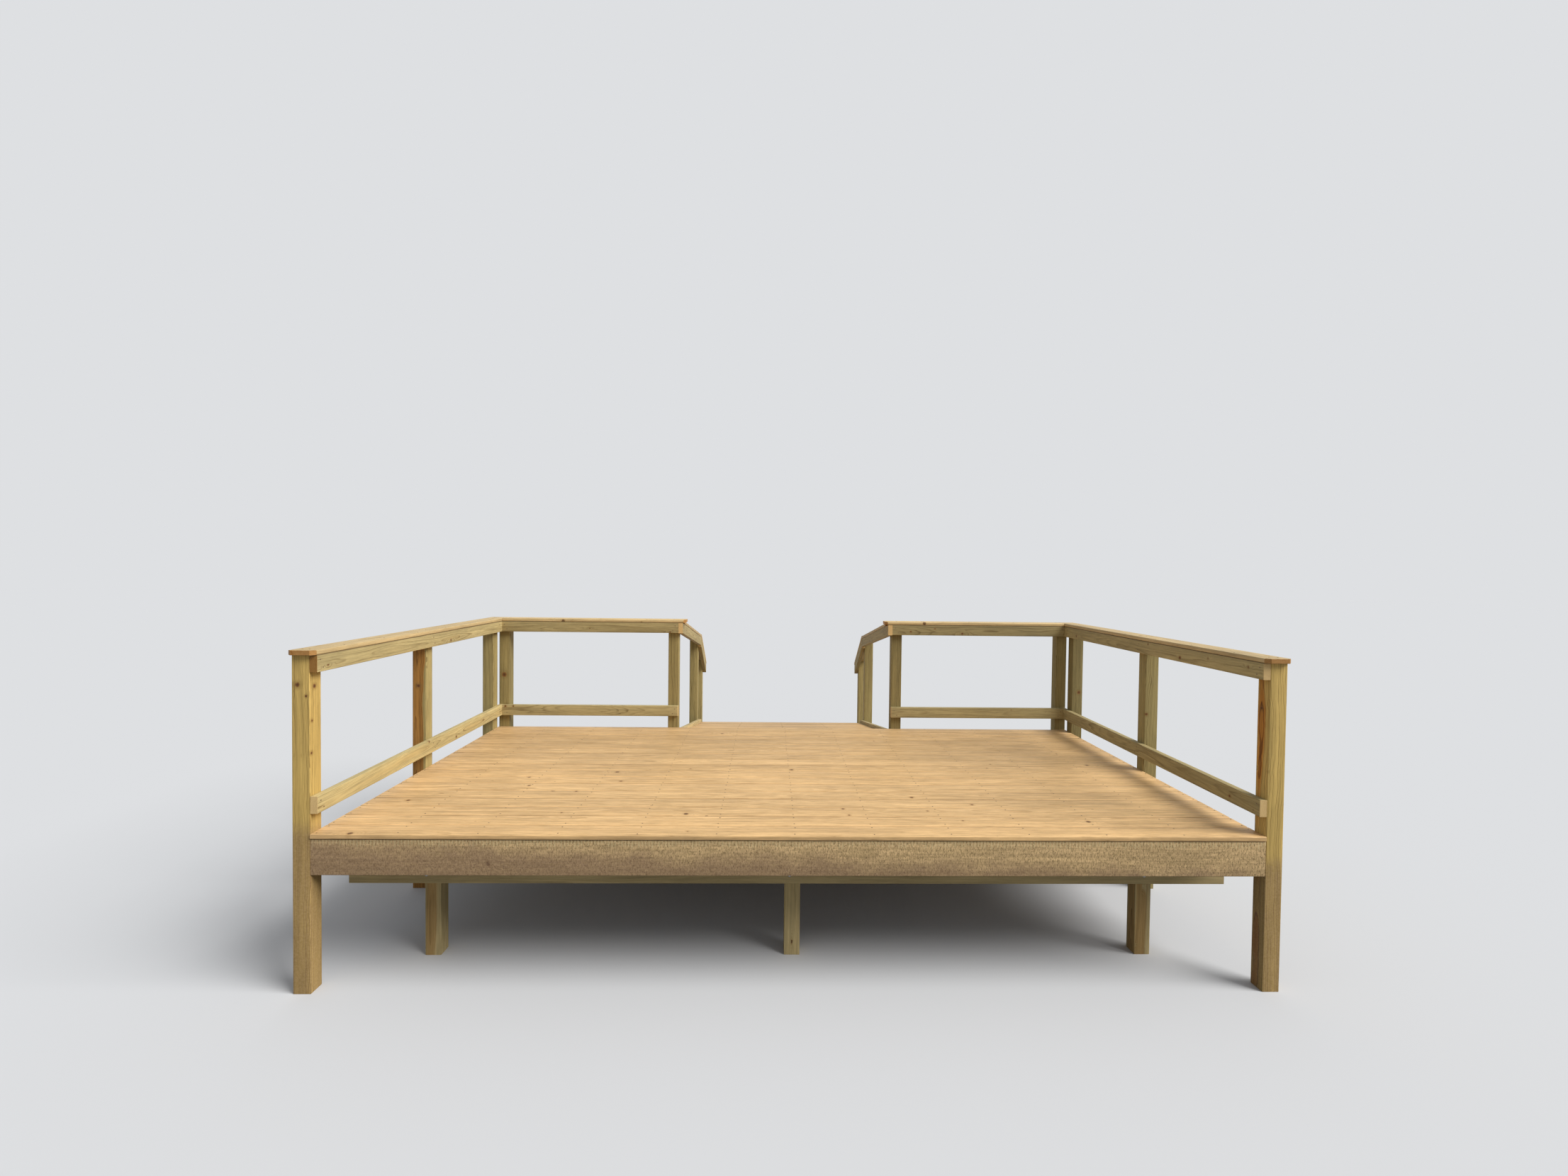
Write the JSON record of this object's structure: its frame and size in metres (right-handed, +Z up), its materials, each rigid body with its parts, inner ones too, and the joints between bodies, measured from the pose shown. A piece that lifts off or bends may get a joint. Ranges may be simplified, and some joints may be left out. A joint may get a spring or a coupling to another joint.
{
  "type": "timber deck with railing and walkway",
  "caption": "Rectangular timber deck, open at the front, with a low post and rail fence and a sloping walkway with handrails and steps at the back.",
  "frame": {"origin": "on the ground, at the middle of the whole structure", "axes": "+X to the right along the deck boards, +Y from the open front towards the lake, +Z up"},
  "size_m": [5.08, 4.6988, 1.7419],
  "materials": {
    "deck_board": "new treated pine, satin",
    "post_timber": "sawn treated pine, matt",
    "rail_timber": "sawn treated pine, matt",
    "cap_board": "planed treated pine, satin",
    "rim_timber": "weathered treated pine, matt",
    "frame_timber": "sawn treated pine, matt"
  },
  "bodies": {
    "root": {"front_rim": "rim_timber", "back_rim": "rim_timber", "left_side_rim": "rim_timber", "right_side_rim": "rim_timber", "floor_joists": "frame_timber", "front_beam": "frame_timber", "left_front_leg": "post_timber", "middle_front_leg": "post_timber", "right_front_leg": "post_timber", "deck_boards": "deck_board", "left_front_post": "post_timber", "left_middle_post": "post_timber", "left_rear_post": "post_timber", "left_corner_post": "post_timber", "left_opening_post": "post_timber", "right_front_post": "post_timber", "right_middle_post": "post_timber", "right_rear_post": "post_timber", "right_corner_post": "post_timber", "right_opening_post": "post_timber", "left_upper_rail": "rail_timber", "back_left_upper_rail": "rail_timber", "left_lower_rail": "rail_timber", "back_left_lower_rail": "rail_timber", "left_cap": "cap_board", "back_left_cap": "cap_board", "right_upper_rail": "rail_timber", "back_right_upper_rail": "rail_timber", "right_lower_rail": "rail_timber", "back_right_lower_rail": "rail_timber", "right_cap": "cap_board", "back_right_cap": "cap_board", "left_knee_post": "post_timber", "left_foot_post": "post_timber", "left_handrail": "rail_timber", "left_handrail_cap": "cap_board", "left_stringers": "rim_timber", "right_knee_post": "post_timber", "right_foot_post": "post_timber", "right_handrail": "rail_timber", "right_handrail_cap": "cap_board", "right_stringers": "rim_timber", "ramp_joists": "frame_timber", "ramp_header": "rim_timber", "ramp_boards": "deck_board", "middle_stringer": "frame_timber", "stair_treads": "deck_board"}
  },
  "joints": []
}
